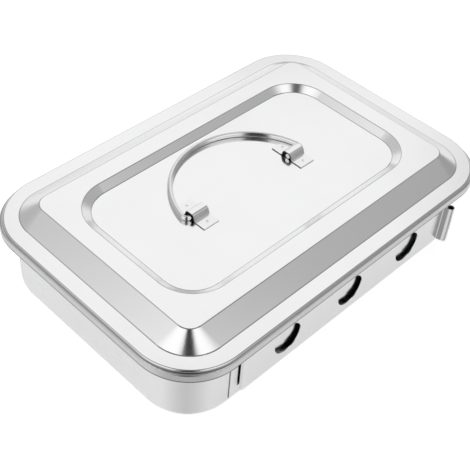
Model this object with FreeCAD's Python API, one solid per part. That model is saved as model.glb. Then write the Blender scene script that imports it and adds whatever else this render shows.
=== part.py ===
import FreeCAD, Part

import math
import os

from FreeCAD import Vector

# Sterilization container: a deep-drawn tray with a sliding vent shutter on
# each long side, and a pressed lid with a folding wire handle.
# Millimetres. X runs along the box, Y across it, Z up. The origin is at the
# middle of the tray's underside. The front is the long side that faces -Y.

# Tray pan
tray_length = 287.8          # over the side walls
tray_width = 186.6
tray_corner_radius = 34.9
tray_edge_radius = 9.0       # between the walls and the bottom, outside
tray_sheet = 0.7
mouth_radius = 1.2           # where the wall turns out into the rim

# Rim of the tray: a ledge with a turned-down skirt and a raised seat
rim_end_overhang = 8.3       # of the rim past the short walls
rim_side_overhang = 8.4      # and past the long walls
rim_corner_radius = 39.5
rim_ledge_height = 57.1
rim_bend_radius = 1.2
skirt_height = 6.0
seat_rise = 1.2              # how far the seat stands above the ledge

# Lid panel
lid_end_inset = 0.9          # from the rim's outer face to the lid's turned-down edge
lid_side_inset = 0.8
lid_corner_radius = 41.5
lid_sheet = 0.7
lid_edge_height = 1.75
lid_edge_radius = 1.4
lid_seat_clearance = 0.3     # sideways, between the lid's edge and the seat
bevel_foot_inset = 12.0      # from the lid's edge to the foot of the bevel
bevel_foot_radius = 27.0
bevel_run = 14.6
bevel_rise = 8.6
plateau_corner_radius = 9.5
recess_inset = 13.7          # from the plateau's edge to the recess
recess_corner_radius = 29.4
recess_run = 6.0
recess_depth = 4.1
crease_radius = 1.4          # of the bends pressed into the lid

# Handle: a round wire bow whose ends turn in through two clips
wire_diameter = 3.6
handle_offset_x = -3.3       # the handle's middle from the lid's middle
handle_offset_y = -1.8       # the hinge line from the lid's middle
bow_radius = 57.2
bow_recess_gap = 4.8         # from the lying bow to the foot of the recess
bow_end_bend = 3.4
wire_clearance = 0.3         # from the wire to the lid and to the clips' feet
wire_end_setback = 0.5       # of the cut end inside its clip

# Handle clips
clip_bend_overlap = 0.45     # of the clips' outer ends past the start of the wire's bends
clip_offset_x = 0.5          # the clips' middle from the handle's middle
clip_offset_y = 0.6          # and from the hinge line
clip_width = 13.3
clip_length = 28.0
clip_sheet = 0.7
clip_arch_clearance = 0.9    # between the wire and the arch over it
clip_leg_spread = 1.5        # how far each leg leans out
clip_top_bend = 2.6
clip_foot_bend = 0.8
weld_diameter = 2.0
weld_depth = 0.18
clip_weld_inset = 4.2        # from the end of a foot to its weld

# Vents in the long walls
vent_count = 3
vent_diameter = 23.5
vent_corner_gap = 48.5       # from the wall's rounded corner to the middle of the next vent
vent_height = 32.3           # of the vents' middles above the underside

# Shutters: a pressed face whose edges fold back and hook behind the runner
shutter_travel = 28.0
shutter_sheet = 0.5
shutter_bend = 0.8           # outside radius of its folded edges
shutter_left_gap = 9.4       # from the wall's rounded corner to the closed end
shutter_right_gap = 8.9      # from the other corner to the end with the pull
shutter_foot_height = 13.2   # of its lower edge above the underside
shutter_rim_clearance = 0.8  # from its upper edge to the skirt of the rim
shutter_gap = 2.3            # between its face and the runner
shutter_slot = 1.05          # between its closed end and the runner's foot
lip_height = 3.2             # of the lips behind the runner
slide_clearance = 0.25

# Runners: a strip raised off the wall between two welded feet
runner_sheet = 0.5
runner_gap = 1.0             # between the runner and the wall
runner_left_gap = 1.9        # from the wall's rounded corner to the left foot
runner_left_foot = 9.0
runner_left_base = 8.5       # height of the left foot's lower end
runner_right_foot = 5.0
runner_neck = 2.0            # length of the slope between the strip and a foot
left_weld_inset = 5.4        # from the left foot's outer end to its welds
left_weld_height = 2.3       # of the lowest weld above the foot's lower end
left_weld_pitch = 4.8

# Finger pull at the shutter's right end
pull_reach = 4.2             # length of the flat between the face and the curl
pull_lean = 16.0             # how far it leans out past square, degrees
pull_bend = 0.6              # inside radius where it leaves the face
pull_bottom = 14.8           # height of its lower end above the underside
pull_top = 45.4
curl_diameter = 5.2
curl_opening = 50.0          # angle that the curl leaves open, degrees

# Values that follow from the ones above
rim_length = tray_length + 2 * rim_end_overhang
rim_width = tray_width + 2 * rim_side_overhang
lid_length = rim_length - 2 * lid_end_inset
lid_width = rim_width - 2 * lid_side_inset
bow_reach = (lid_width / 2 - bevel_foot_inset - bevel_run - recess_inset - recess_run
             - bow_recess_gap - wire_diameter / 2 - handle_offset_y)
bow_bend_x = math.sqrt((bow_radius - bow_end_bend) ** 2 - (bow_radius + bow_end_bend - bow_reach) ** 2)
clip_spacing = 2 * (bow_bend_x + clip_bend_overlap) - clip_width
flat_wall_reach = tray_length / 2 - tray_corner_radius
vent_pitch = (flat_wall_reach - vent_corner_gap) * 2 / (vent_count - 1)
shutter_left_reach = flat_wall_reach - shutter_left_gap
shutter_right_reach = flat_wall_reach - shutter_right_gap
runner_left_reach = flat_wall_reach - runner_left_gap
seat_height = rim_ledge_height + seat_rise
skirt_bottom = rim_ledge_height - skirt_height
lid_top = seat_height + lid_sheet
plateau_height = lid_top + bevel_rise
panel_height = plateau_height - recess_depth
hinge_height = panel_height + wire_clearance + wire_diameter / 2
wall_y = tray_width / 2
runner_foot_front = wall_y + runner_sheet
runner_back = wall_y + runner_gap
runner_front = runner_back + runner_sheet
shutter_back = runner_front + shutter_gap
shutter_front = shutter_back + shutter_sheet
shutter_bottom = shutter_foot_height
shutter_top = skirt_bottom - shutter_rim_clearance
runner_bottom = shutter_bottom + shutter_sheet + slide_clearance
runner_top = shutter_top - shutter_sheet - slide_clearance
web_left = -runner_left_reach + runner_left_foot + runner_neck
web_right = (vent_count - 1) / 2 * vent_pitch + shutter_travel + vent_diameter / 2 + runner_sheet


def outline(length, width, radius, z):
    """A closed rounded rectangle, centred on the Z axis, at height z."""
    x, y = length / 2, width / 2
    cut = radius * (1 - math.sqrt(0.5))
    corners = (
        (Vector(x - radius, -y, z), Vector(x - cut, -y + cut, z), Vector(x, -y + radius, z)),
        (Vector(x, y - radius, z), Vector(x - cut, y - cut, z), Vector(x - radius, y, z)),
        (Vector(-x + radius, y, z), Vector(-x + cut, y - cut, z), Vector(-x, y - radius, z)),
        (Vector(-x, -y + radius, z), Vector(-x + cut, -y + cut, z), Vector(-x + radius, -y, z)),
    )
    edges = []
    for index, (start, middle, end) in enumerate(corners):
        following = corners[(index + 1) % len(corners)][0]
        edges.append(Part.Arc(start, middle, end).toShape())
        edges.append(Part.LineSegment(end, following).toShape())
    return Part.Wire(edges)


def slab(length, width, radius, z_low, z_high):
    """A flat block with a rounded rectangle as its outline."""
    face = Part.Face(outline(length, width, radius, z_low))
    return face.extrude(Vector(0, 0, z_high - z_low))


def taper(low, high):
    """A solid between two rounded rectangles, each (length, width, radius, z)."""
    return Part.makeLoft([outline(*low), outline(*high)], True, True)


def edges_at_height(solid, z, least_half_length=0.0, most_half_length=1e6):
    """Edges that lie flat at height z, picked by how far out along X or Y they reach."""
    found = []
    for edge in solid.Edges:
        box = edge.BoundBox
        if box.ZLength > 1e-4 or abs(box.ZMin - z) > 1e-4:
            continue
        reach = max(abs(box.XMin), abs(box.XMax))
        if least_half_length <= reach <= most_half_length:
            found.append(edge)
    return found


def block(x_low, x_high, y_low, y_high, z_low, z_high):
    """A box between two corners."""
    corner = Vector(x_low, y_low, z_low)
    return Part.makeBox(x_high - x_low, y_high - y_low, z_high - z_low, corner)


def bent_strip(points, radii, sheet):
    """A closed outline of bent sheet in the YZ plane.

    points runs along one side of the sheet and radii holds the bend radius at
    each inner point on that side. The other side lies one sheet to the right
    of the way the points run.
    """
    count = len(points)
    ways = []
    for first, second in zip(points, points[1:]):
        length = math.hypot(second[0] - first[0], second[1] - first[1])
        ways.append(((second[0] - first[0]) / length, (second[1] - first[1]) / length))
    far_points = []
    for index, (u, v) in enumerate(points):
        before = ways[max(index - 1, 0)]
        after = ways[min(index, count - 2)]
        # the corner of the far side lies on the line that halves the bend
        normal_u = before[1] + after[1]
        normal_v = -before[0] - after[0]
        scale = sheet / (1 + before[0] * after[0] + before[1] * after[1])
        far_points.append((u + normal_u * scale, v + normal_v * scale))
    far_radii = []
    for index in range(1, count - 1):
        before, after = ways[index - 1], ways[index]
        turn = before[0] * after[1] - before[1] * after[0]
        far_radii.append(radii[index - 1] + (sheet if turn > 0 else -sheet))
    near = rounded_path(points, radii)
    far = rounded_path(far_points[::-1], far_radii[::-1])
    ends = [
        Part.LineSegment(near[-1].Vertexes[-1].Point, far[0].Vertexes[0].Point).toShape(),
        Part.LineSegment(far[-1].Vertexes[-1].Point, near[0].Vertexes[0].Point).toShape(),
    ]
    return Part.Wire(Part.__sortEdges__(near + far + ends))


def rounded_path(points, radii):
    """Line and arc edges along (y, z) points, with a radius at each inner point."""
    edges = []
    start = Vector(0, points[0][0], points[0][1])
    for index in range(1, len(points)):
        corner = Vector(0, points[index][0], points[index][1])
        if index == len(points) - 1 or radii[index - 1] < 1e-6:
            edges.append(Part.LineSegment(start, corner).toShape())
            start = corner
            continue
        following = Vector(0, points[index + 1][0], points[index + 1][1])
        back = (Vector(0, points[index - 1][0], points[index - 1][1]) - corner).normalize()
        ahead = (following - corner).normalize()
        half = back.getAngle(ahead) / 2
        radius = radii[index - 1]
        enter = corner + back * (radius / math.tan(half))
        leave = corner + ahead * (radius / math.tan(half))
        halfway = (back + ahead).normalize()
        middle = corner + halfway * (radius / math.sin(half) - radius)
        edges.append(Part.LineSegment(start, enter).toShape())
        edges.append(Part.Arc(enter, middle, leave).toShape())
        start = leave
    return edges


def weld_marks(places, outward):
    """Shallow round dents, as a spot welder's tips leave, to cut from a surface."""
    radius = (weld_diameter ** 2 / 4 + weld_depth ** 2) / (2 * weld_depth)
    marks = [Part.makeSphere(radius, place + outward * (radius - weld_depth)) for place in places]
    return Part.makeCompound(marks)


def vent_holes(shift, y_low, y_high):
    """The row of round vents through the front wall, moved along X by shift."""
    holes = []
    for index in range(vent_count):
        x = (index - (vent_count - 1) / 2) * vent_pitch + shift
        start = Vector(x, y_low, vent_height)
        holes.append(Part.makeCylinder(vent_diameter / 2, y_high - y_low, start, Vector(0, 1, 0)))
    return Part.makeCompound(holes)


def to_rear(shape):
    """The same piece on the rear side, turned half a turn about the Z axis."""
    turned = shape.copy()
    turned.rotate(Vector(0, 0, 0), Vector(0, 0, 1), 180)
    return turned


def make_tray_pan():
    """The deep-drawn pan with its rim, seat, skirt and the vents in both long walls."""
    ledge_under = rim_ledge_height - tray_sheet
    seat_under = seat_height - tray_sheet
    seat_length = lid_length - 2 * lid_sheet - 2 * lid_seat_clearance
    seat_width = lid_width - 2 * lid_sheet - 2 * lid_seat_clearance
    seat_radius = lid_corner_radius - lid_sheet - lid_seat_clearance
    thin = 2 * tray_sheet

    body = slab(tray_length, tray_width, tray_corner_radius, 0, seat_under)
    body = body.makeFillet(tray_edge_radius, edges_at_height(body, 0))
    rim = slab(rim_length, rim_width, rim_corner_radius, skirt_bottom, rim_ledge_height)
    rim = rim.makeFillet(rim_bend_radius, edges_at_height(rim, rim_ledge_height))
    seat = slab(seat_length, seat_width, seat_radius, ledge_under, seat_height)
    seat = seat.makeFillet(tray_sheet, edges_at_height(seat, seat_height))

    under_rim = slab(rim_length - thin, rim_width - thin, rim_corner_radius - tray_sheet,
                     skirt_bottom, ledge_under)
    under_seat = slab(seat_length - thin, seat_width - thin, seat_radius - tray_sheet,
                      ledge_under - tray_sheet, seat_under)
    solid = rim.fuse(seat).cut(under_rim).cut(under_seat).fuse(body)

    inside = slab(tray_length - thin, tray_width - thin, tray_corner_radius - tray_sheet,
                  tray_sheet, seat_height + tray_sheet)
    inside = inside.makeFillet(tray_edge_radius - tray_sheet, edges_at_height(inside, tray_sheet))
    solid = solid.cut(inside).removeSplitter()
    mouth = edges_at_height(solid, seat_height, 0, tray_length / 2)
    solid = solid.makeFillet(mouth_radius, mouth)

    front_vents = vent_holes(shutter_travel, -wall_y - tray_sheet, -wall_y + 2 * tray_sheet)
    return solid.cut(front_vents).cut(to_rear(front_vents))


def lid_form(depth):
    """The lid's pressed shape as a block, its surface one depth inside the outer one."""
    bevel_angle = math.atan2(bevel_rise, bevel_run)
    recess_angle = math.atan2(recess_depth, recess_run)
    bevel_shift = depth * math.tan(bevel_angle / 2)
    recess_shift = depth * math.tan(recess_angle / 2)
    top = lid_top - depth
    low = lid_top - lid_edge_height
    foot_length = lid_length - 2 * bevel_foot_inset - 2 * bevel_shift
    foot_width = lid_width - 2 * bevel_foot_inset - 2 * bevel_shift
    plateau_length = foot_length - 2 * bevel_run
    plateau_width = foot_width - 2 * bevel_run
    recess_length = plateau_length - 2 * recess_inset + 2 * bevel_shift + 2 * recess_shift
    recess_width = plateau_width - 2 * recess_inset + 2 * bevel_shift + 2 * recess_shift
    recess_radius = recess_corner_radius + recess_shift
    panel_length = recess_length - 2 * recess_run
    panel_width = recess_width - 2 * recess_run

    flange = slab(lid_length - 2 * depth, lid_width - 2 * depth, lid_corner_radius - depth, low, top)
    flange = flange.makeFillet(lid_edge_radius - depth, edges_at_height(flange, top))
    bevel = taper((foot_length, foot_width, bevel_foot_radius, top),
                  (plateau_length, plateau_width, plateau_corner_radius, top + bevel_rise))
    recess = taper((panel_length, panel_width, recess_radius - recess_run,
                    top + bevel_rise - recess_depth),
                   (recess_length, recess_width, recess_radius, top + bevel_rise))
    form = flange.fuse(bevel).removeSplitter().cut(recess)

    # an outward bend has its full radius outside and one sheet less inside
    foot = edges_at_height(form, top, plateau_length / 2, (foot_length + lid_edge_height) / 2)
    form = form.makeFillet(crease_radius + depth, foot)
    plateau = edges_at_height(form, top + bevel_rise, recess_length / 2 + 1)
    form = form.makeFillet(crease_radius - depth, plateau)
    brim = edges_at_height(form, top + bevel_rise, 0, recess_length / 2 + 0.5)
    form = form.makeFillet(crease_radius - depth, brim)
    floor = edges_at_height(form, top + bevel_rise - recess_depth)
    return form.makeFillet(crease_radius + depth, floor)


def make_lid_panel():
    """The lid: one sheet pressed with a bevel, a plateau and a recessed panel."""
    below = block(-lid_length, lid_length, -lid_width, lid_width,
                  lid_top - lid_edge_height - lid_sheet, lid_top - lid_edge_height)
    return lid_form(0).cut(lid_form(lid_sheet)).cut(below)


def make_handle_clip(side):
    """One saddle clip over the wire, with a welded foot before and behind it."""
    x = handle_offset_x + clip_offset_x + side * clip_spacing / 2
    y = handle_offset_y + clip_offset_y
    arch_half = wire_diameter / 2 + clip_arch_clearance + clip_sheet
    arch_top = hinge_height + arch_half
    foot_top = panel_height + clip_sheet
    spread = arch_half + clip_leg_spread
    half = clip_length / 2
    points = [(-half, foot_top), (-spread, foot_top), (-arch_half, arch_top),
              (arch_half, arch_top), (spread, foot_top), (half, foot_top)]
    radii = [clip_foot_bend, clip_top_bend, clip_top_bend, clip_foot_bend]
    section = Part.Face(bent_strip(points, radii, clip_sheet))
    clip = section.extrude(Vector(clip_width, 0, 0))
    clip.translate(Vector(x - clip_width / 2, y, 0))

    # the back foot's outer corner is cut to the curve of the wire that lies beside it
    bow_middle = Vector(handle_offset_x, handle_offset_y + bow_reach - bow_radius, panel_height)
    beside = wire_diameter / 2 + wire_clearance
    within_bow = Part.makeCylinder(bow_radius - beside, clip_sheet, bow_middle)
    back = block(x - clip_width, x + clip_width, y + spread, y + clip_length, panel_height, foot_top)
    clip = clip.cut(back.cut(within_bow))

    weld_y = half - clip_weld_inset
    places = [Vector(x, y + way * weld_y, foot_top) for way in (-1, 1)]
    return clip.cut(weld_marks(places, Vector(0, 0, 1)))


def make_lid_handle():
    """The wire bow: an arc between two tight bends, and a straight pin at each end."""
    drop = bow_radius - bow_reach
    inner = bow_radius - bow_end_bend
    touch = bow_radius / inner
    touch_x = bow_bend_x * touch
    touch_y = (bow_end_bend + drop) * touch - drop
    bend_turn = math.atan2(touch_y - bow_end_bend, touch_x - bow_bend_x)
    halfway = (bend_turn - math.pi / 2) / 2
    bend_mid = (bow_bend_x + bow_end_bend * math.cos(halfway),
                bow_end_bend + bow_end_bend * math.sin(halfway))
    pin_end = (clip_spacing - clip_width) / 2 + clip_offset_x + wire_end_setback

    def place(x, y):
        return Vector(handle_offset_x + x, handle_offset_y + y, hinge_height)

    edges = [
        Part.LineSegment(place(-pin_end, 0), place(-bow_bend_x, 0)).toShape(),
        Part.Arc(place(-bow_bend_x, 0), place(-bend_mid[0], bend_mid[1]), place(-touch_x, touch_y)).toShape(),
        Part.Arc(place(-touch_x, touch_y), place(0, bow_reach), place(touch_x, touch_y)).toShape(),
        Part.Arc(place(touch_x, touch_y), place(bend_mid[0], bend_mid[1]), place(bow_bend_x, 0)).toShape(),
        Part.LineSegment(place(bow_bend_x, 0), place(pin_end, 0)).toShape(),
    ]
    path = Part.Wire(edges)
    circle = Part.Circle(place(-pin_end, 0), Vector(1, 0, 0), wire_diameter / 2)
    return path.makePipeShell([Part.Wire([circle.toShape()])], True, False)


def make_front_runner():
    """The fixed strip that the shutter slides on, welded to the wall at its two feet."""
    foot_left = -runner_left_reach
    left_neck = web_left - runner_neck
    right_neck = web_right + runner_neck
    foot_right = right_neck + runner_right_foot
    # the right foot passes between the shutter's lips, the left one stops them
    narrow_bottom = shutter_bottom + lip_height + slide_clearance
    narrow_top = shutter_top - lip_height - slide_clearance

    web = block(web_left, web_right, -runner_front, -runner_back, runner_bottom, runner_top)
    left_foot = block(foot_left, left_neck, -runner_foot_front, -wall_y, runner_left_base, shutter_top)
    right_foot = block(right_neck, foot_right, -runner_foot_front, -wall_y, narrow_bottom, narrow_top)
    left_slope = runner_slope(left_neck, web_left, runner_bottom, runner_top)
    right_slope = runner_slope(right_neck, web_right, narrow_bottom, narrow_top)
    runner = web.fuse([left_foot, right_foot, left_slope, right_slope]).removeSplitter()
    runner = runner.cut(vent_holes(shutter_travel, -runner_front - 1, -runner_back + 1))

    left_weld = foot_left + left_weld_inset
    right_weld = (right_neck + foot_right) / 2
    low_weld = runner_left_base + left_weld_height
    high_weld = shutter_top - left_weld_height
    places = [
        Vector(left_weld, -runner_foot_front, low_weld),
        Vector(left_weld, -runner_foot_front, low_weld + left_weld_pitch),
        Vector(left_weld, -runner_foot_front, high_weld - left_weld_pitch),
        Vector(left_weld, -runner_foot_front, high_weld),
        Vector(right_weld, -runner_foot_front, narrow_bottom + left_weld_height),
        Vector(right_weld, -runner_foot_front, narrow_top - left_weld_height),
    ]
    return runner.cut(weld_marks(places, Vector(0, -1, 0)))


def runner_slope(x_foot, x_web, z_low, z_high):
    """The sloping part of a runner between a foot on the wall and the raised strip."""
    corners = [
        Vector(x_foot, -runner_foot_front, z_low),
        Vector(x_web, -runner_front, z_low),
        Vector(x_web, -runner_back, z_low),
        Vector(x_foot, -wall_y, z_low),
    ]
    face = Part.Face(Part.makePolygon(corners + corners[:1]))
    return face.extrude(Vector(0, 0, z_high - z_low))


def make_front_shutter():
    """The sliding shutter: a face with lips that hook behind the runner, and its pull."""
    left = -shutter_left_reach
    right = shutter_right_reach - pull_bend - shutter_sheet
    lip_front = -(runner_back - slide_clearance)
    lip_back = lip_front + shutter_sheet

    outer = block(left, right, -shutter_front, lip_back, shutter_bottom, shutter_top)
    outer = outer.makeFillet(shutter_bend, folded_edges(outer, right))
    inner = block(left + shutter_sheet, right, -shutter_back, lip_front,
                  shutter_bottom + shutter_sheet, shutter_top - shutter_sheet)
    inner = inner.makeFillet(shutter_bend - shutter_sheet, folded_edges(inner, right))
    back_opening = block(left + shutter_sheet, right, lip_front - shutter_sheet, lip_back,
                         shutter_bottom + lip_height, shutter_top - lip_height)
    # over the runner's left foot only the face and its rim are left
    stop = web_left + slide_clearance
    over_foot = block(left, stop, -runner_foot_front - shutter_slot, lip_back, shutter_bottom, shutter_top)
    shutter = outer.cut(inner).cut(back_opening).cut(over_foot)
    shutter = shutter.cut(vent_holes(0, -shutter_front - 1, -shutter_back + 1))
    return shutter.fuse(make_finger_pull()).removeSplitter()


def folded_edges(solid, right):
    """The edges of a block where sheet is folded: along X, and upright at the closed end."""
    found = []
    for edge in solid.Edges:
        box = edge.BoundBox
        if box.YLength < 1e-6 and box.XMin < right - 1e-6:
            if box.XLength > 1e-6 or box.YMax < -shutter_back + 1e-6:
                found.append(edge)
    return found


def make_finger_pull():
    """The shutter's end, bent outwards and curled into a tube to hook a finger behind."""
    radius = curl_diameter / 2
    height = pull_top - pull_bottom
    lean = math.radians(pull_lean)
    outward = Vector(math.sin(lean), -math.cos(lean), 0)
    sideways = Vector(math.cos(lean), math.sin(lean), 0)
    corner = Vector(shutter_right_reach, -shutter_back, pull_bottom)
    root = corner - Vector(2 * (pull_bend + shutter_sheet), 0, 0)
    tip = corner + outward * (shutter_sheet + pull_reach)
    flat = [(point.x, point.y) for point in (root, corner, tip)]
    section = Part.Face(bent_strip(flat, [pull_bend + shutter_sheet], shutter_sheet))
    section.rotate(Vector(0, 0, 0), Vector(1, 1, 1), 240)
    section.translate(Vector(0, 0, pull_bottom))
    tab = section.extrude(Vector(0, 0, height))

    centre = tip + sideways * (radius - shutter_sheet)
    curl = Part.makeCylinder(radius, height, centre)
    curl = curl.cut(Part.makeCylinder(radius - shutter_sheet, height, centre))
    away = math.radians(curl_opening)
    across = sideways * -math.cos(away) - outward * math.sin(away)
    mouth = Part.makePolygon([
        centre,
        centre - sideways * curl_diameter,
        centre - (sideways + outward) * curl_diameter,
        centre + across * curl_diameter * 2,
        centre,
    ])
    curl = curl.cut(Part.Face(mouth).extrude(Vector(0, 0, height)))
    return curl.fuse(tab)


def main():
    os.makedirs("parts", exist_ok=True)
    front_runner = make_front_runner()
    front_shutter = make_front_shutter()
    pieces = {
        "tray_pan": make_tray_pan(),
        "front_runner": front_runner,
        "front_shutter": front_shutter,
        "rear_runner": to_rear(front_runner),
        "rear_shutter": to_rear(front_shutter),
        "lid_panel": make_lid_panel(),
        "handle_clip_left": make_handle_clip(-1),
        "handle_clip_right": make_handle_clip(1),
        "lid_handle": make_lid_handle(),
    }
    for name, shape in pieces.items():
        print(name, "valid", shape.isValid(), "solids", len(shape.Solids), "volume %.0f" % shape.Volume)
        shape.exportStep("parts/" + name + ".step")


main()
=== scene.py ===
# %% [markdown]
# # A sterilization container in brushed and polished steel
#
# The object is a flat steel box for surgical instruments: a deep-drawn tray, a pressed lid with a
# folding wire handle, and a row of steam vents in each long wall that a sliding shutter opens and
# closes. The metalwork is already modelled, piece by piece, and arrives here as a frame. What is
# left is the part that makes it look like steel: how each surface was finished, what it mirrors,
# and where the camera stands.

# %% Load the metalwork
import math

import bpy
from mathutils import Matrix, Vector

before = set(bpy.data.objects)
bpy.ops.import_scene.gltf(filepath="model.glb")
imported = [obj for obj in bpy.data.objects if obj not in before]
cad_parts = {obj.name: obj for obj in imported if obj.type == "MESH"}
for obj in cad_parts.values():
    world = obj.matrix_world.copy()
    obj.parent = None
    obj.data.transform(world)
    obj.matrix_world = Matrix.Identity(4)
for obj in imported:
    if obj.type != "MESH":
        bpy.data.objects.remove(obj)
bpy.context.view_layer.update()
print("pieces:", ", ".join(sorted(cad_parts)))

# %% [markdown]
# ## Words for the node sheet
#
# A finish in Blender is a chain of small nodes, each doing one step: measure a place, compare it
# with a limit, mix two colours. The chain can be drawn by hand in the shader editor or written as
# code. Code is used here, because the same few steps come back on every piece. Each gets a short
# helper, and the nodes are laid out on a grid, so that the sheet can still be read in the editor.

# %% Add one node
nodes_in_row = 8
column_width, row_height = 240, 300


def add_node(tree, kind, inputs=None, **settings):
    """Add a node at the next place of the grid, apply its settings, then join or set its inputs."""
    spot = len(tree.nodes)
    node = tree.nodes.new(kind)
    node.location = (column_width * (spot % nodes_in_row), -row_height * (spot // nodes_in_row))
    for name, setting in settings.items():
        setattr(node, name, setting)
    for name, value in (inputs or {}).items():
        if isinstance(value, bpy.types.NodeSocket):
            tree.links.new(value, node.inputs[name])
        else:
            node.inputs[name].default_value = value
    return node


# %% The steps that come back
def number_math(tree, operation, *values):
    """One sum on numbers."""
    node = add_node(tree, "ShaderNodeMath", dict(enumerate(values)), operation=operation)
    return node.outputs["Value"]


def vector_math(tree, operation, *values):
    """One sum on vectors. Two of these sums give a plain number."""
    node = add_node(tree, "ShaderNodeVectorMath", dict(enumerate(values)), operation=operation)
    return node.outputs["Value" if operation in ("LENGTH", "DOT_PRODUCT") else "Vector"]


def axes_of(tree, vector):
    """The X, Y and Z of a vector, each as an output."""
    return add_node(tree, "ShaderNodeSeparateXYZ", {"Vector": vector}).outputs


def change_over(tree, value, start, end, before=0.0, after=1.0, how="LINEAR"):
    """A number that goes from before to after while a value goes from start to end."""
    limits = {"Value": value, "From Min": start, "From Max": end, "To Min": before, "To Max": after}
    return add_node(tree, "ShaderNodeMapRange", limits, interpolation_type=how).outputs["Result"]


def mix_colours(tree, share, first, second):
    """The first colour where the share is 0, the second where it is 1."""
    colours = {"Factor": share, "A": first, "B": second}
    return add_node(tree, "ShaderNodeMix", colours, data_type="RGBA").outputs["Result"]


def colour_ramp(tree, value, stops):
    """A colour that follows a value along a ramp of (position, colour) stops."""
    ramp = add_node(tree, "ShaderNodeValToRGB", {"Fac": value})
    ready_made = len(ramp.color_ramp.elements)
    for index, (position, colour) in enumerate(stops):
        elements = ramp.color_ramp.elements
        stop = elements[index] if index < ready_made else elements.new(position)
        stop.position = position
        stop.color = colour
    return ramp.outputs["Color"]


# %% Greys and steels
def grey(shade):
    return (shade, shade, shade, 1.0)


def steel(shade):
    """How much light a steel mirrors. It mirrors a trace more blue than red and green."""
    return (shade, shade, shade + 0.005, 1.0)


clean_steel = steel(0.885)
print("clean steel mirrors", [round(share, 3) for share in clean_steel[:3]])

# %% [markdown]
# ## One recipe for bright steel
#
# Steel has no colour of its own to speak of: nearly all that the eye reads is the room, mirrored
# and a little smeared. The smear comes from the finish. A rolled or brushed sheet has fine lines
# along one direction, and they can be made in three ways: with an image of scratches, with the
# shader's anisotropy, or with a noise pattern that is stretched along the grain. The stretched
# noise is used here, because it needs no image and can be laid along each piece. It moves the
# roughness and the surface by a little, and a second, broad and slow noise stands for the places
# where hands and cloths have dulled the shine.

# %% The steel recipe
grain_fineness = 900.0  # lines per metre across the grain
grain_depth = 0.00001  # metres
grain_smear = 0.05  # roughness that the deepest lines add
handled_from, handled_to = 0.35, 0.70  # where the slow noise starts and ends its work


def bright_steel(name, colour, smear, grain_along, wear=0.05):
    """A steel whose fine grain runs along one axis of the object.

    smear is its least roughness, wear what handling adds to that, and grain_along how fine the
    pattern is along X, Y and Z: 1 is across the grain, and a small share stretches it.
    """
    material = bpy.data.materials.new(name)
    material.use_nodes = True
    tree = material.node_tree
    shader = tree.nodes["Principled BSDF"]
    shader.inputs["Base Color"].default_value = colour
    shader.inputs["Metallic"].default_value = 1.0

    place = add_node(tree, "ShaderNodeTexCoord").outputs["Object"]
    stretch = {"Vector": place, "Scale": Vector(grain_along) * grain_fineness}
    stretched = add_node(tree, "ShaderNodeMapping", stretch).outputs["Vector"]
    fine = {"Vector": stretched, "Scale": 1.0, "Detail": 3.0, "Roughness": 0.6}
    grain = add_node(tree, "ShaderNodeTexNoise", fine).outputs["Fac"]
    broad = {"Vector": place, "Scale": 22.0, "Detail": 4.0, "Roughness": 0.55}
    handling = add_node(tree, "ShaderNodeTexNoise", broad).outputs["Fac"]

    dulled = change_over(tree, handling, handled_from, handled_to, smear, smear + wear)
    lined = number_math(tree, "MULTIPLY_ADD", grain, grain_smear, dulled)
    tree.links.new(lined, shader.inputs["Roughness"])
    relief = {"Height": grain, "Strength": 1.0, "Distance": grain_depth}
    lined_surface = add_node(tree, "ShaderNodeBump", relief).outputs["Normal"]
    tree.links.new(lined_surface, shader.inputs["Normal"])
    print(name, "has roughness from", smear, "to", round(smear + wear + grain_smear, 3))
    return material


# %% [markdown]
# ## Dressing the pieces
#
# The lid was pressed from a satin sheet whose rolling lines run along its length. The pan was
# drawn from the same sheet, and deep drawing left it a little duller. The shutters and their
# strips were cut from brighter stock, the clips were bent from a narrow strip, and the handle is
# polished wire, which mirrors the room almost sharply. Five recipes would drift apart, so one
# recipe with five settings keeps the family likeness.

# %% Finishes for this box
rolled_along_x = (0.02, 1.0, 1.0)
drawn_upward = (0.03, 0.03, 1.0)
bent_along_y = (1.0, 0.05, 1.0)
drawn_wire = (0.3, 0.3, 0.3)

clip_steel = steel(0.87)
lid_finish = bright_steel("lid_satin_steel", clean_steel, 0.12, rolled_along_x, wear=0.04)
pan_finish = bright_steel("pan_satin_steel", clean_steel, 0.22, drawn_upward)
strip_finish = bright_steel("strip_bright_steel", clean_steel, 0.12, rolled_along_x)
clip_finish = bright_steel("clip_bright_steel", clip_steel, 0.16, bent_along_y)
wire_finish = bright_steel("wire_polished_steel", steel(0.80), 0.06, drawn_wire, wear=0.03)


# %% Read a place, and colour a finish
def place_on(material, output="Object"):
    """Where a point lies on the piece, or with "Normal" which way it faces."""
    return material.node_tree.nodes["Texture Coordinate"].outputs[output]


def colour_with(material, output):
    """Let an output decide the colour of a finish."""
    tree = material.node_tree
    tree.links.new(output, tree.nodes["Principled BSDF"].inputs["Base Color"])
    print(material.name, "is coloured by", output.node.bl_label, "among", len(tree.nodes), "nodes")
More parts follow.
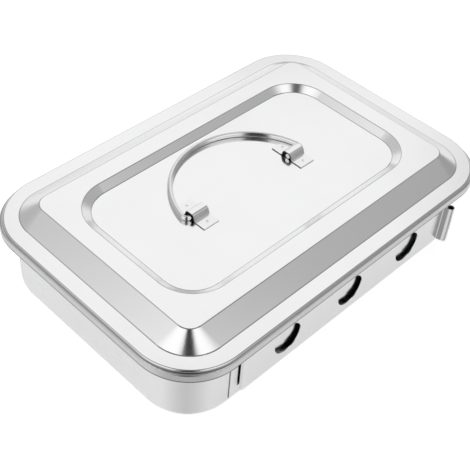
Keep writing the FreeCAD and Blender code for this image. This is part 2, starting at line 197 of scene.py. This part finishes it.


# %% [markdown]
# ## Where the pan is darker, and where shade is painted on it
#
# The turned rim is coloured darker than the walls. A painted shadow darkens the rim's cut lower
# edge, where it stands over the wall. A painted reflection darkens the four drawn corners, where
# the steel mirrors a dark place in the room. Such places could be painted on by hand, or found by
# the shader from the place on the piece. The second way stays right when the box is lifted or
# turned, so the shader measures how far a point lies outside the straight part of each wall.

# %% Measure how far out a point of the pan lies
straight_half = (0.1127, 0.0622, 1.0)  # the corners' centres lie here; the height plays no part
pan_tree = pan_finish.node_tree
one_quarter = vector_math(pan_tree, "ABSOLUTE", place_on(pan_finish))  # four corners in one
past_straight = vector_math(pan_tree, "SUBTRACT", one_quarter, straight_half)
outside = vector_math(pan_tree, "MAXIMUM", past_straight, (0.0, 0.0, 0.0))
reach = vector_math(pan_tree, "LENGTH", outside)
print("the pan is measured from", straight_half[:2], "metres out")

# %% Darken the rim, and paint a shadow along its cut lower edge
wall_ends, rim_starts = 0.0355, 0.0365
# The rim's cut lower edge gets a painted shadow: a near-black strip for the shade between the rim
# and the wall.
hem_top, hem_clear = 0.0517, 0.0521
rim_shade, painted_hem_shadow_grey = 0.74, 0.22
on_rim = change_over(pan_tree, reach, wall_ends, rim_starts, 1.0, rim_shade)
pan_height = axes_of(pan_tree, place_on(pan_finish))["Z"]
hem = change_over(pan_tree, pan_height, hem_top, hem_clear, painted_hem_shadow_grey, 1.0)
is_wall = number_math(pan_tree, "LESS_THAN", reach, (wall_ends + rim_starts) / 2)
painted_hem_shadow_on_rim = number_math(pan_tree, "MAXIMUM", hem, is_wall)
rim_and_hem_shadow = number_math(pan_tree, "MULTIPLY", on_rim, painted_hem_shadow_on_rim)
print("the rim keeps", rim_shade, "of its shine, its cut edge", painted_hem_shadow_grey)

# %% Paint a dark reflection into the drawn corners
corner_from, corner_to = 0.006, 0.022
# The drawn corners are darkened with a painted reflection of a dark place in the room.
painted_corner_reflection_grey = 0.72
out_parts = axes_of(pan_tree, outside)
round_corner = number_math(pan_tree, "MINIMUM", out_parts["X"], out_parts["Y"])
painted_corner_reflection = change_over(pan_tree, round_corner, corner_from, corner_to, 1.0, painted_corner_reflection_grey,
                        how="SMOOTHSTEP")
pan_darkening_and_painted_shade = number_math(pan_tree, "MULTIPLY", rim_and_hem_shadow, painted_corner_reflection)
pan_steel_and_painted_shade = add_node(pan_tree, "ShaderNodeVectorMath",
                        {0: clean_steel[:3], "Scale": pan_darkening_and_painted_shade}, operation="SCALE")
colour_with(pan_finish, pan_steel_and_painted_shade.outputs["Vector"])

# %% [markdown]
# ## The turned-down edge of the lid
#
# The edge of the lid was folded down over a die. Below the bright top it is coloured dark, a
# painted reflection of the dark room that the folded edge mirrors. A separate material for its
# faces would do, but the shader can find it by height alone, because the edge is the only part of
# the lid that lies so low.

# %% Paint a dark reflection on the turned-down edge
edge_top, flange_starts = 0.0583, 0.0587
# A painted reflection: the grey that the turned-down edge is coloured below the bright top.
painted_lid_edge_reflection = steel(0.34)
lid_tree = lid_finish.node_tree
lid_height = axes_of(lid_tree, place_on(lid_finish))["Z"]
above_edge = change_over(lid_tree, lid_height, edge_top, flange_starts)
lid_steel_and_painted_edge = mix_colours(lid_tree, above_edge, painted_lid_edge_reflection, clean_steel)
print("the lid's edge is dull below", edge_top, "metres")

# %% [markdown]
# ## The bends of the lid
#
# The lid was pressed, and every bend of it gets a thin dark line of painted shade in its colour.
# The lines could be drawn along the edges, but the shader can also find a bend by its slant, which
# lies between the level of the flats and the slant of the bevels, and that follows every corner.

# %% Paint shade along the bends between flats and bevels
# Painted shade: the grey that the bends are darkened to.
painted_bend_shade = 0.62
bevel_slant, bend_from = 0.868, 0.885  # how far a surface faces up: 1 is level
bend_to, flat_slant = 0.985, 0.997
slant = axes_of(lid_tree, place_on(lid_finish, "Normal"))["Z"]
bend = colour_ramp(lid_tree, slant, (
    (bevel_slant, grey(1.0)), (bend_from, grey(painted_bend_shade)),
    (bend_to, grey(painted_bend_shade)), (flat_slant, grey(1.0)),
))
colour_with(lid_finish, vector_math(lid_tree, "MULTIPLY", lid_steel_and_painted_edge, bend))

# %% [markdown]
# ## The finger pulls
#
# Each shutter ends in a pull: a flat that stands out from the face, and a curl round it. The flat
# is coloured dark, a painted reflection of the room it faces. The curl carries painted reflections:
# light and dark streaks along its length. Pull and shutter are one sheet, so they share one
# material, and the shader tells flat from curl by their distance from the middle of the box.

# %% Paint a dark reflection on the flat of each pull
face_ends, flat_starts = 0.0976, 0.0982
flat_ends, curl_starts = 0.1008, 0.1013
# Painted reflection: the dark grey that the flat of each pull is coloured.
painted_pull_reflection = steel(0.36)
strip_tree = strip_finish.node_tree
from_middle = vector_math(strip_tree, "ABSOLUTE", place_on(strip_finish))
out_of_face = axes_of(strip_tree, from_middle)["Y"]
past_face = change_over(strip_tree, out_of_face, face_ends, flat_starts)
before_curl = change_over(strip_tree, out_of_face, flat_ends, curl_starts, 1.0, 0.0)
pull_flat = number_math(strip_tree, "MULTIPLY", past_face, before_curl)
print("the flat of each pull stands", flat_starts, "to", flat_ends, "metres out")

# %% Paint streaks of reflection on the curl of each pull
reflection_streak_fineness = (700.0, 700.0, 12.0)  # streaks per metre: fine across, long upwards
# Painted reflections: the dark and the light streak of the curl.
dark_reflection_streak, bright_reflection_streak = (0.38, steel(0.34)), (0.56, steel(0.80))
in_curl = change_over(strip_tree, out_of_face, flat_ends, curl_starts)
streak_place = add_node(strip_tree, "ShaderNodeMapping",
                        {"Vector": place_on(strip_finish), "Scale": reflection_streak_fineness})
streaks = add_node(strip_tree, "ShaderNodeTexNoise", {
    "Vector": streak_place.outputs["Vector"], "Scale": 1.0, "Detail": 2.0, "Roughness": 0.6,
})
painted_streaks = colour_ramp(strip_tree, streaks.outputs["Fac"], (dark_reflection_streak, bright_reflection_streak))
face_and_curl = mix_colours(strip_tree, in_curl, clean_steel, painted_streaks)
strip_steel_and_painted_reflections = mix_colours(strip_tree, pull_flat, face_and_curl, painted_pull_reflection)
print("the curl carries", reflection_streak_fineness[0], "streaks per metre")

# %% [markdown]
# ## Painted reflection on the sheared edges
#
# Strip is cut with a shear. On a clip or the end of a strip, the cut face is coloured near black, a
# painted dark reflection, and that thin dark line is what draws its outline. The faces could be
# picked one by one, but all of them look along X, so the shader finds them by the way they face.

# %% Paint a dark reflection on the sheared edges of the strips and clips
# Painted reflection: the near black that the cut faces are coloured.
painted_edge_reflection = grey(0.12)
nearly_along_x, along_x = 0.975, 0.990
strip_end = 0.1065  # metres from the middle, so that the slots further in stay bright


def paint_reflection_on_sheared_edges(material, colour, beyond=0.0):
    """Paint a dark reflection on the faces that look along X and lie further out than a distance.
    """
    tree = material.node_tree
    facing = vector_math(tree, "ABSOLUTE", place_on(material, "Normal"))
    looks_along_x = change_over(tree, axes_of(tree, facing)["X"], nearly_along_x, along_x)
    out_along = vector_math(tree, "ABSOLUTE", place_on(material))
    far_out = number_math(tree, "GREATER_THAN", axes_of(tree, out_along)["X"], beyond)
    painted_reflection_there = number_math(tree, "MULTIPLY", looks_along_x, far_out)
    colour_with(material, mix_colours(tree, painted_reflection_there, colour, painted_edge_reflection))


paint_reflection_on_sheared_edges(strip_finish, strip_steel_and_painted_reflections, beyond=strip_end)
paint_reflection_on_sheared_edges(clip_finish, clip_steel)

# %% Give each piece its finish
finish_of_piece = {
    "lid_panel": lid_finish,
    "tray_pan": pan_finish,
    "front_runner": strip_finish,
    "rear_runner": strip_finish,
    "front_shutter": strip_finish,
    "rear_shutter": strip_finish,
    "handle_clip_left": clip_finish,
    "handle_clip_right": clip_finish,
    "lid_handle": wire_finish,
}
for piece, finish in finish_of_piece.items():
    material_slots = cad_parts[piece].data.materials
    if not material_slots:
        material_slots.append(finish)
    for index in range(len(material_slots)):
        material_slots[index] = finish
print("dressed", len(finish_of_piece), "pieces")

# %% [markdown]
# ## The table
#
# A plain white sheet carries the box and keeps its soft shadow. Cloth or paper would do; paper has
# no weave to distract, and its white is easy to set. It glows a little where the camera or a bright
# piece looks at it, so the picture's ground is white without any more light on the box. It isn't
# part of the object.

# %% The paper
table_paper = bpy.data.materials.new("white_paper")
table_paper.use_nodes = True
paper_tree = table_paper.node_tree
paper = paper_tree.nodes["Principled BSDF"]
paper.inputs["Base Color"].default_value = grey(0.70)
paper.inputs["Roughness"].default_value = 0.9
paper.inputs["Specular IOR Level"].default_value = 0.0
paper.inputs["Emission Color"].default_value = grey(1.0)
glow_in_mirrors, glow_to_camera = 0.41, 0.66
seen_by = add_node(paper_tree, "ShaderNodeLightPath").outputs
mirrored_glow = number_math(paper_tree, "MULTIPLY", seen_by["Is Glossy Ray"], glow_in_mirrors)
glow = number_math(paper_tree, "MULTIPLY_ADD", seen_by["Is Camera Ray"], glow_to_camera,
                   mirrored_glow)
paper_tree.links.new(glow, paper.inputs["Emission Strength"])
print("the paper glows", glow_to_camera, "to the camera and", glow_in_mirrors, "in mirrors")

# %% The table
table_size = 6.0
below_box = 0.0002  # a paper's thickness, so that table and box don't share one plane
bpy.ops.mesh.primitive_plane_add(size=table_size, location=(0.0, 0.0, -below_box))
table = bpy.context.object
table.name = "white_table"
table.data.materials.append(table_paper)
print("table", table_size, "metres wide")

# %% [markdown]
# ## The room that the steel mirrors
#
# A mirror-like object is lit by building what it sees. That could be done with cards and lamps
# round the box, or with a picture of a room, or by painting the sky by direction. The last way is
# used, because each bevel of the lid looks at one small part of the sky, and that part can be
# given its own grey.
#
# The room is white with a light haze low down, and the flat tops look at a white wall. Grey walls
# stand where the long slope and the left slope look, and darker ones low down, where the turned
# rim looks. A dark opening lies overhead. Behind the camera stands a black one with a bright place
# on either side, which draw the dark streak and the two white fans of the near corner. A dark
# column under it gives the wire its dark length. Seen directly, the sky is plain white, so that a
# low view has the same ground as a high one.

# %% Start an empty sky
world = bpy.data.worlds.new("studio_room")
bpy.context.scene.world = world
world.use_nodes = True
sky = world.node_tree
sky.nodes.clear()
looking_at = add_node(sky, "ShaderNodeTexCoord").outputs["Generated"]
print("the sky has", len(sky.nodes), "node")


# %% Ways to paint the sky
def toward(azimuth, elevation):
    """The direction of a place on the sky, in degrees: azimuth 0 is +Y and turns towards +X."""
    around = math.radians(azimuth)
    up = math.radians(elevation)
    level = math.cos(up)
    return Vector((math.sin(around) * level, math.cos(around) * level, math.sin(up)))


def sky_haze(full_below, gone_above, shade):
    """A haze low on a white sky: full shade under one elevation in degrees, gone above another."""
    height = axes_of(sky, looking_at)["Z"]
    return change_over(sky, height, math.sin(math.radians(full_below)),
                       math.sin(math.radians(gone_above)), shade, 1.0)


def sky_patch(below, direction, reach, edge, shade):
    """A round patch over what is below: full shade within reach degrees, gone after edge more."""
    facing = vector_math(sky, "DOT_PRODUCT", looking_at, direction)
    cover = change_over(sky, facing, math.cos(math.radians(reach + edge)),
                        math.cos(math.radians(reach)), how="SMOOTHSTEP")
    return mix_colours(sky, cover, below, grey(shade))


# %% Paint the room
room = (
    # what it is, azimuth, elevation, full within, gone after more (all in degrees), shade
    ("grey wall that the long slope sees", 103.0, 42.0, 14.5, 20.0, 0.455),
    ("grey wall high up in the far corner", 49.0, 68.0, 0.5, 22.0, 0.50),
    ("dark wall that the rim sees at the front", 128.0, 0.0, 33.0, 8.0, 0.36),
    ("grey wall that the left slope sees", -9.5, 37.0, 15.0, 17.5, 0.59),
    ("grey wall that the rim sees on the left", -34.0, 0.0, 27.0, 18.0, 0.50),
    ("dark opening overhead", -158.0, 88.5, 2.0, 18.0, 0.22),
    ("black opening behind the camera", -137.0, 65.0, 4.5, 15.0, 0.02),
    ("white wall that the flat tops see", 47.0, 43.0, 9.0, 7.0, 1.02),
    ("dark place above the left slope's wall", -8.0, 72.0, 4.0, 8.0, 0.2),
    ("dark place above the long slope's wall", 94.0, 64.0, 5.0, 7.0, 0.15),
    ("bright place left of the black opening", -80.0, 61.0, 7.0, 14.0, 1.14),
    ("bright place right of the black opening", 174.0, 62.0, 4.0, 11.0, 1.14),
    ("white wall low down, for the far slopes", 46.0, 7.0, 14.0, 8.0, 1.03),
    ("grey band between the two white walls", 48.0, 24.0, 4.0, 7.0, 0.45),
    ("foot of the dark column", -135.0, 12.0, 13.0, 8.0, 0.05),
    ("top of the dark column", -135.0, 40.0, 12.0, 6.0, 0.04),
)
sky_colour = sky_haze(full_below=31.0, gone_above=56.0, shade=0.88)
for name, azimuth, elevation, reach_full, edge_width, shade in room:
    sky_colour = sky_patch(sky_colour, toward(azimuth, elevation), reach_full, edge_width, shade)
    print(name, "has shade", shade)

# %% Hang the sky
seen_directly = add_node(sky, "ShaderNodeLightPath").outputs["Is Camera Ray"]
backdrop = mix_colours(sky, seen_directly, sky_colour, grey(1.0))
sky_light = add_node(sky, "ShaderNodeBackground", {"Color": backdrop, "Strength": 1.0})
add_node(sky, "ShaderNodeOutputWorld", {"Surface": sky_light.outputs["Background"]})
print("the sky has", len(sky.nodes), "nodes")

# %% [markdown]
# ## A soft lamp
#
# The room lights the box from all sides at once, so it would float. A sun would cut a hard shadow;
# one broad, weak lamp from above on the left gives the table a soft one. The steel doesn't mirror
# the lamp, because its disk would stand in the corners of the lid as white fans with hard edges.
# The bright places of the sky draw those more softly.

# %% The broad lamp
lamp_data = bpy.data.lights.new("broad_lamp", "AREA")
lamp_data.shape = "DISK"
lamp_data.size = 1.1
lamp_data.energy = 1.6
lamp = bpy.data.objects.new("broad_lamp", lamp_data)
bpy.context.collection.objects.link(lamp)
lamp.location = (-0.9, 0.08, 1.56)
lamp.visible_glossy = False
box_foot = Vector((0.0, 0.0, 0.0))
lamp.rotation_euler = (box_foot - lamp.location).to_track_quat("-Z", "Y").to_euler()
print("a lamp of", round(lamp_data.energy, 2), "watts,", round(lamp_data.size, 2), "metres across")

# %% [markdown]
# ## The camera
#
# The camera stands to the left of the front, looking down at about 45 degrees. It could be aimed
# by eye, but its place and turn were worked out from the outline of the lid in the photograph. The
# rows below are its own directions to the right and up, seen from the box, and its place.

# %% Place the camera
camera_data = bpy.data.cameras.new("camera")
camera = bpy.data.objects.new("camera", camera_data)
bpy.context.collection.objects.link(camera)
camera_right = Vector((0.707541, -0.704196, 0.059105))
camera_up = Vector((0.466933, 0.528648, 0.708876))
camera_back = camera_right.cross(camera_up)
camera_place = Vector((-0.379880, -0.331522, 0.508435))
camera_turn = Matrix((camera_right, camera_up, camera_back)).transposed()
camera.matrix_world = Matrix.Translation(camera_place) @ camera_turn.to_4x4()
camera_data.sensor_width = 36.0
camera_data.lens = 75.122
camera_data.clip_start = 0.01
bpy.context.scene.camera = camera
bpy.context.scene.view_settings.view_transform = "Standard"
print("the camera stands", round(camera_place.length, 3), "metres from the box's middle")
